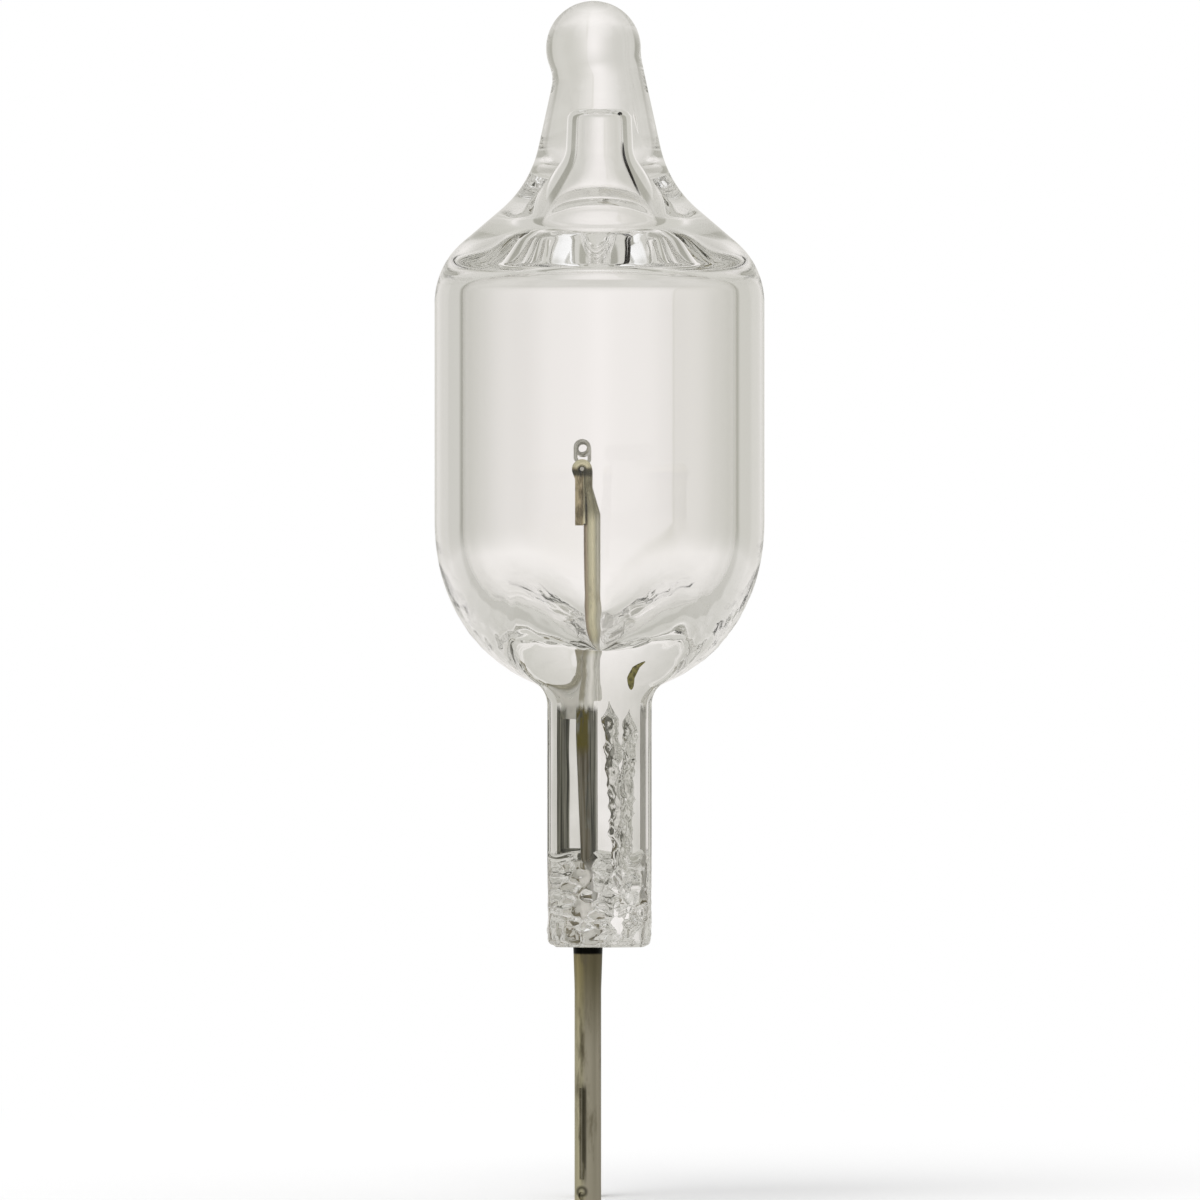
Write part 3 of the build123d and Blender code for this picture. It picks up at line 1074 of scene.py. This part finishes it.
def clear_glass():
    finish = new_finish("clear_glass")
    place = finish.position()
    height = finish.axes(place)[2] / MM
    smoke = finish.noise(place, SMOKE_GRAIN)
    squeezed = (1 - finish.ease(height, SMOKE_ENDS)) * finish.ease(smoke, SMOKE_EDGES)
    squeezed = squeezed * finish.ease(height, SMOKE_STARTS)
    ripples = finish.noise(place, RIPPLE_GRAIN, RIPPLE_DETAIL)
    bump = finish.add("ShaderNodeBump", None, {
        "Strength": RIPPLE_STRENGTH, "Distance": RIPPLE_DEPTH, "Height": ripples})
    shader = finish.add("ShaderNodeBsdfPrincipled", None, {
        "Base Color": finish.tint(squeezed, GLASS_TINT, SEAL_TINT), "Roughness": 0.0,
        "IOR": QUARTZ_INDEX, "Transmission Weight": 1.0, "Normal": bump})
    return finish.close(shader)


skin_mesh.materials.append(clear_glass())
print("glass finish made")

# %% [markdown]
# ## Sealing foils
# A thick wire would crack the quartz, so the current passes the seal in a foil thinner than a hair
# whose edges are etched to a feather. Drawn flat it would look like a ruled line, so each foil gets a
# ripple from the pinch. The near one also curls, and its front edge stands further to the left.

# %% Foil strips
FOIL_WIDTH = 1.6
FOIL_THICKNESS = 0.03
FOIL_EDGE = 0.004
FOIL_RIPPLE = 0.006
FOIL_RIPPLE_RATE = 0.9
FOIL_OFFSET = 0.1
FOIL_LEAN = {"near": 0.065, "far": 0.0}
FOIL_CURL = {"near": 0.335, "far": 0.0}
FOIL_CURL_START = 1.9
FOIL_CURL_FADE = 0.4
FOIL_CURL_LEVELS = (2.0, 5.5)
FOIL_CURL_SHARES = (0.68, 1.0)
FOIL_COLUMNS = 24
FOIL_RINGS = 60
FOIL_SHARP_ANGLE = math.radians(60)


def foil_ring(z, y, lean, curl):
    """One level of a foil: along its left face, then back along its right face."""
    shares = np.linspace(-0.5, 0.5, FOIL_COLUMNS)
    grown = smooth((z - FOIL_CURL_START) / FOIL_CURL_FADE)
    rolled = curl * grown * np.interp(z, FOIL_CURL_LEVELS, FOIL_CURL_SHARES)
    points = []
    for side in (-1, 1):
        for share in shares[::-side]:
            along = share * FOIL_WIDTH
            ripple = FOIL_RIPPLE * noise.noise(Vector((along, y, z)) * FOIL_RIPPLE_RATE)
            thick = FOIL_EDGE + FOIL_THICKNESS * math.sqrt(max(1 - 4 * share * share, 0))
            bend = lean * 2 * share - rolled * 4 * min(share, 0) ** 2
            points.append((bend - FOIL_OFFSET + ripple + side * thick / 2, y + along, z))
    return np.array(points)


def foil_strip(side, y):
    low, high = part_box(f"{side}_sealing_foil")
    levels = np.linspace(low.z / MM, high.z / MM, FOIL_RINGS)
    shell = Shell()
    shell.tube([foil_ring(z, y, FOIL_LEAN[side], FOIL_CURL[side]) for z in levels])
    strip = new_piece(f"{side}_foil_strip", shell)
    strip.data.shade_smooth()
    strip.data.set_sharp_from_angle(angle=FOIL_SHARP_ANGLE)
    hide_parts(f"{side}_sealing_foil")
    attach(strip, "root")
    return strip


foils = [foil_strip("near", pin_spacing), foil_strip("far", -pin_spacing)]
print("foils:", [len(strip.data.polygons) for strip in foils], "faces")

# %% [markdown]
# ## Welds
# The flattened end of each lead is folded over the filament's tail, pressed shut and tacked with a
# spot of weld. The weld is a small block in the fold, a little short of the strip's edges.

# %% Welds in the folds
STRIP_THICKNESS = 0.2
EYE_RADIUS = 0.055
WELD_LEFT = -0.47
WELD_RIGHT = -0.36
WELD_DEPTH = 0.2
WELD_LENGTH = 1.45


def weld_block(shell, y, top):
    rings = []
    for z in (top - WELD_LENGTH, top):
        rings.append(np.array([
            (WELD_LEFT, y - WELD_DEPTH, z), (WELD_RIGHT, y - WELD_DEPTH, z),
            (WELD_RIGHT, y + WELD_DEPTH, z), (WELD_LEFT, y + WELD_DEPTH, z)]))
    start, end = shell.bridge(rings)
    shell.faces += [(end, end + 1, end + 2, end + 3), (start + 3, start + 2, start + 1, start)]


def fold_welds():
    shell = Shell()
    for lead in ("near_inner_lead", "far_inner_lead"):
        low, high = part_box(lead)
        weld_block(shell, (low.y + high.y) / 2 / MM, high.z / MM - STRIP_THICKNESS - EYE_RADIUS)
    welds = new_piece("fold_welds", shell)
    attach(welds, "root")
    return welds


welds = fold_welds()
print("fold welds:", len(welds.data.polygons), "faces")

# %% [markdown]
# ## Wire and foil
# The leads, foils and pins are molybdenum, and the coil is tungsten. All are drawn or rolled, so they
# carry fine lines along their length, and the heat of sealing has browned them unevenly. One function
# lays the drawn lines, and each metal brings its own colours, placed by height and by side; those
# placed by side are painted shade and painted highlights.

# %% Drawn metal
DRAWN_GRAIN = (30000, 30000, 700)
DRAWN_STRENGTH = 0.2
DRAWN_DEPTH = 0.00001
DRAWN_SPREAD = 0.2
FINE_DETAIL = 4.0
PATCH_ROUGHNESS = 0.6


def metal(finish, colour, roughness):
    """Drawn metal in a given colour, with fine lines along its length."""
    lines = finish.noise(finish.position(), DRAWN_GRAIN, FINE_DETAIL)
    bump = finish.add("ShaderNodeBump", None, {
        "Strength": DRAWN_STRENGTH, "Distance": DRAWN_DEPTH, "Height": lines})
    shader = finish.add("ShaderNodeBsdfPrincipled", None, {
        "Base Color": colour, "Metallic": 1.0, "Roughness": roughness + DRAWN_SPREAD * (lines - 0.5),
        "Normal": bump})
    return finish.close(shader)


def facing(finish):
    """How far a surface faces right, and how far it faces back, in the part's own frame."""
    normal = finish.add("ShaderNodeTexCoord", output="Normal")
    return finish.axes(normal)[:2]


def patchwork(finish, place, grain):
    """Uneven patches, such as heat leaves on metal."""
    return finish.noise(place, grain, FINE_DETAIL, PATCH_ROUGHNESS)


print("drawn lines:", DRAWN_GRAIN[0], "per metre across,", DRAWN_GRAIN[2], "along")

# %% [markdown]
# A lead is painted by side: a brown painted shade on its left, a painted highlight in front and a
# grey painted shade on its right. The flattened strip at its top is darker, with a patchy folded leg,
# a painted shadow under the fold and a gold painted highlight on top. Below, where the lead is fused
# into the glass, it looks pale, with painted shade on its left face in the throat.

# %% Lead finish
LEAD_GRAIN = (3000, 3000, 1400)
LEAD_SHADE_LEFT = (0.33, 0.255, 0.18, 1)
LEAD_HIGHLIGHT_FRONT = (0.7, 0.66, 0.46, 1)
LEAD_SHADE_RIGHT = (0.55, 0.53, 0.44, 1)
LEAD_STAIN = (0.4, 0.36, 0.24, 1)
SHADE_LEFT_TURN = (-0.9, -0.3)
SHADE_RIGHT_TURN = (0.1, 0.8)
BROWNED = (0.5, 0.75)
STRIP_PALE = (0.31, 0.29, 0.19, 1)
STRIP_DARK = (0.17, 0.15, 0.085, 1)
STRIP_PATCHES = (0.4, 0.6)
STRIP_STARTS = (11.0, 11.5)
LEG_PALE = (0.6, 0.5, 0.32, 1)
LEG_DARK = (0.2, 0.16, 0.09, 1)
LEG_PATCHES = (0.4, 0.56)
LEG_EDGE = (-0.12, -0.1)
LEG_STARTS = (10.8, 10.9)
FOLD_SHADOW = (0.05, 0.045, 0.022, 1)
FOLD_SHADOW_SPAN = (12.3, 12.48)
FOLD_SHADOW_BLUR = 0.05
FOLD_GOLD_HIGHLIGHT = (0.74, 0.69, 0.48, 1)
FOLD_TOP = (12.48, 12.56)
SEALED_METAL = (0.95, 0.94, 0.9, 1)
SEALED_LEFT_SHADE = (0.55, 0.52, 0.42, 1)
SEALED_LEFT_TURN = (-0.7, -0.4)
SEALED_LEFT_STARTS = (6.3, 6.5)
SEALED_ENDS = (7.5, 7.9)
LEAD_ROUGHNESS = 0.3


def lead_metal():
    finish = new_finish("lead_metal")
    place = finish.position()
    x, _, z = finish.axes(place)
    across, height = x / MM, z / MM
    patches = patchwork(finish, place, LEAD_GRAIN)
    side, _ = facing(finish)
    # Painted shade and light by side: brown painted shade on the left, a painted highlight in front,
    # grey painted shade on the right.
    colour = finish.fade(side, SHADE_LEFT_TURN, LEAD_SHADE_LEFT, LEAD_HIGHLIGHT_FRONT)
    colour = finish.fade(side, SHADE_RIGHT_TURN, colour, LEAD_SHADE_RIGHT)
    colour = finish.fade(patches, BROWNED, colour, LEAD_STAIN)
    strip = finish.fade(patches, STRIP_PATCHES, STRIP_PALE, STRIP_DARK)
    colour = finish.fade(height, STRIP_STARTS, colour, strip)
    leg = (1 - finish.ease(across, LEG_EDGE)) * finish.ease(height, LEG_STARTS)
    colour = finish.tint(leg, colour, finish.fade(patches, LEG_PATCHES, LEG_PALE, LEG_DARK))
    shadow = finish.band(height, FOLD_SHADOW_SPAN, FOLD_SHADOW_BLUR)
    colour = finish.tint(shadow, colour, FOLD_SHADOW)
    # Painted highlight: gold along the top of the fold.
    colour = finish.fade(height, FOLD_TOP, colour, FOLD_GOLD_HIGHLIGHT)
    # Painted shade on the lead's left face in the throat, where it enters the glass.
    shaded = (1 - finish.ease(side, SEALED_LEFT_TURN)) * finish.ease(height, SEALED_LEFT_STARTS)
    sealed = finish.tint(shaded, SEALED_METAL, SEALED_LEFT_SHADE)
    colour = finish.fade(height, SEALED_ENDS, sealed, colour)
    return metal(finish, colour, LEAD_ROUGHNESS)


lead_finish = lead_metal()
print("lead finish made")

# %% [markdown]
# A pin leaves the glass dark from the heat, with a painted black shadow right under the seal, and
# grows paler towards its end. Its left side is painted lighter and warmer, as painted light. Painted
# shade darkens the drawing seam on its front and a ring round a small dimple near its end. Inside the
# seal it is seen only in flakes between the creases, so there it is broken up into pale and dark
# crust.

# %% Pin finish
PIN_GRAIN = (2500, 2500, 700)
PIN_END = (0.42, 0.39, 0.31, 1)
PIN_TOP = (0.17, 0.15, 0.09, 1)
PIN_END_LIT = (0.62, 0.58, 0.41, 1)
PIN_TOP_LIT = (0.36, 0.31, 0.16, 1)
PIN_DARKENS = (-3.2, -0.3)
PIN_LIT_TURN = (-0.1, -0.6)
PIN_STAIN = (0.17, 0.15, 0.1, 1)
PIN_BACK_TURN = (-0.6, -0.2)
PIN_PAINTED_SHADE = (0.05, 0.045, 0.03, 1)
SEAM_ACROSS = (-0.17, -0.04)
SEAM_ACROSS_BLUR = 0.03
SEAM_HEIGHTS = (-6.2, -3.7)
SEAM_HEIGHT_BLUR = 0.15
SEAM_PATCHES = (0.2, 0.5)
SEAM_SHADE_SHARE = 0.85
MARK_PLACE = (-0.158, -6.47)
MARK_RADII = (0.065, 0.15)
MARK_BLUR = 0.045
MARK_SHADE_SHARE = 0.8
CRUST_GRAIN = (7000, 7000, 7000)
CRUST_DETAIL = 2.0
CRUST_EDGES = (0.39, 0.45)
SEALED_SHADE = (0.25, 0.22, 0.14, 1)
CRUST_STARTS = (0.0, 0.2)
COLLAR_SHADOW = (0.006, 0.006, 0.005, 1)
COLLAR_SPAN = (-0.24, -0.05)
COLLAR_BLUR = 0.03
PIN_ROUGHNESS = 0.42


def pin_mark_shade(finish, across, height, front, patches, colour):
    """Adds painted shade along the drawing seam and round the ring mark to a pin's colour."""
    # Painted shade along the seam's groove on the front.
    seam = finish.band(across, SEAM_ACROSS, SEAM_ACROSS_BLUR)
    seam = seam * finish.band(height, SEAM_HEIGHTS, SEAM_HEIGHT_BLUR)
    seam = seam * front * finish.ease(patches, SEAM_PATCHES)
    colour = finish.tint(SEAM_SHADE_SHARE * seam, colour, PIN_PAINTED_SHADE)
    # Painted shade: a dark ring round a small dimple near the pin's end.
    aside, above = across - MARK_PLACE[0], height - MARK_PLACE[1]
    from_mark = (aside * aside + above * above).root()
    mark = finish.band(from_mark, MARK_RADII, MARK_BLUR) * front
    return finish.tint(MARK_SHADE_SHARE * mark, colour, PIN_PAINTED_SHADE)


def pin_metal():
    finish = new_finish("pin_metal")
    place = finish.position()
    x, _, z = finish.axes(place)
    across, height = x / MM, z / MM
    patches = patchwork(finish, place, PIN_GRAIN)
    side, back = facing(finish)
    colour = finish.fade(height, PIN_DARKENS, PIN_END, PIN_TOP)
    # Painted light: the side facing left is lighter and warmer.
    lit_side = finish.fade(height, PIN_DARKENS, PIN_END_LIT, PIN_TOP_LIT)
    colour = finish.fade(side, PIN_LIT_TURN, colour, lit_side)
    colour = finish.fade(patches, BROWNED, colour, PIN_STAIN)
    front = 1 - finish.ease(back, PIN_BACK_TURN)
    colour = pin_mark_shade(finish, across, height, front, patches, colour)
    crust = finish.noise(place, CRUST_GRAIN, CRUST_DETAIL, PATCH_ROUGHNESS)
    crust = finish.fade(crust, CRUST_EDGES, SEALED_SHADE, SEALED_METAL)
    colour = finish.fade(height, CRUST_STARTS, colour, crust)
    # Painted shadow: a black band right under the glass, where the pin leaves the seal.
    shadow_collar = finish.band(height, COLLAR_SPAN, COLLAR_BLUR)
    colour = finish.tint(shadow_collar, colour, COLLAR_SHADOW)
    return metal(finish, colour, PIN_ROUGHNESS)


pin_finish = pin_metal()
print("pin finish made")

# %% [markdown]
# A foil fused into glass has no gloss of its own, since no air lies on it. It shows streaks from
# rolling, heat colours along the near foil's front, gold above and brown below, and, further back, a
# right face painted pale as painted light. Its lower end is crusted like the pin. Its upper end thins
# out over the lead's foot, which Alpha gives.

# %% Foil finish
STREAK_GRAIN = (9000, 9000, 250)
FOIL_GRAIN = (3000, 3000, 1200)
FOIL_DARK = (0.08, 0.08, 0.065, 1)
FOIL_PALE = (0.6, 0.59, 0.5, 1)
STREAK_EDGES = (0.36, 0.64)
FOIL_RIGHT_TURN = (0.2, 0.6)
FOIL_FRONT = (-2.36, -2.52)
FOIL_HEATED = (0.34, 0.48)
FOIL_BROWN = (0.26, 0.2, 0.12, 1)
FOIL_GOLD = (0.22, 0.18, 0.025, 1)
FOIL_GOLD_STARTS = (4.8, 5.3)
FOIL_BROWN_SHARE = 0.5
FOIL_LIT_RIGHT = (0.95, 0.94, 0.9, 1)
FOIL_LIT_STARTS = (-1.95, -1.75)
FOIL_CRUST_EDGES = (0.34, 0.42)
FOIL_CRUST_STARTS = (2.3, 1.9)
FOIL_THINS = (6.0, 6.3)
FOIL_THINS_UNEVENLY = 0.8


def foil_metal():
    finish = new_finish("foil_metal")
    place = finish.position()
    _, y, z = finish.axes(place)
    depth, height = y / MM, z / MM
    side, _ = facing(finish)
    streaks = patchwork(finish, place, STREAK_GRAIN)
    patches = patchwork(finish, place, FOIL_GRAIN)
    colour = finish.fade(streaks, STREAK_EDGES, FOIL_DARK, FOIL_PALE)
    right = finish.ease(side, FOIL_RIGHT_TURN)
    front = right * finish.ease(depth, FOIL_FRONT) * finish.ease(patches, FOIL_HEATED)
    upper = finish.ease(height, FOIL_GOLD_STARTS)
    heated = finish.tint(upper, FOIL_BROWN, FOIL_GOLD)
    share = FOIL_BROWN_SHARE + (1 - FOIL_BROWN_SHARE) * upper
    colour = finish.tint(front * share, colour, heated)
    # Painted light: right faces further back are painted pale.
    colour = finish.tint(right * finish.ease(depth, FOIL_LIT_STARTS), colour, FOIL_LIT_RIGHT)
    crust = finish.fade(patches, FOIL_CRUST_EDGES, SEALED_SHADE, SEALED_METAL)
    colour = finish.fade(height, FOIL_CRUST_STARTS, colour, crust)
    thinned = finish.ease(height + FOIL_THINS_UNEVENLY * (streaks - 0.5), FOIL_THINS)
    shader = finish.add("ShaderNodeBsdfPrincipled", None, {
        "Base Color": colour, "Roughness": MATT + MATT_SPREAD * streaks,
        "Specular IOR Level": 0.0, "Alpha": 1 - thinned})
    return finish.close(shader)


foil_finish = foil_metal()
print("foil finish made")

# %% [markdown]
# The coil is bare tungsten, bright and only a little patchy. With its finish made, every metal piece
# gets its own: the CAD nodes in their material slots, the foils and the welds on their new meshes.

# %% Coil finish and where each goes
COIL_GRAIN = (4000, 4000, 4000)
COIL_PALE = (0.66, 0.65, 0.6, 1)
COIL_DARK = (0.4, 0.39, 0.35, 1)
COIL_ROUGHNESS = 0.28


def coil_metal():
    finish = new_finish("coil_metal")
    patches = finish.noise(finish.position(), COIL_GRAIN)
    return metal(finish, finish.tint(patches, COIL_PALE, COIL_DARK), COIL_ROUGHNESS)


finishes = {"filament_coil": coil_metal()}
for side in ("near", "far"):
    finishes[f"{side}_inner_lead"] = lead_finish
    finishes[f"{side}_contact_pin"] = pin_finish
for node, finish in finishes.items():
    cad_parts[node].material_slots[0].material = finish
for strip in foils:
    strip.data.materials.append(foil_finish)
welds.data.materials.append(lead_finish)
print("metal finishes on", sorted(finishes), "and", len(foils), "foils")
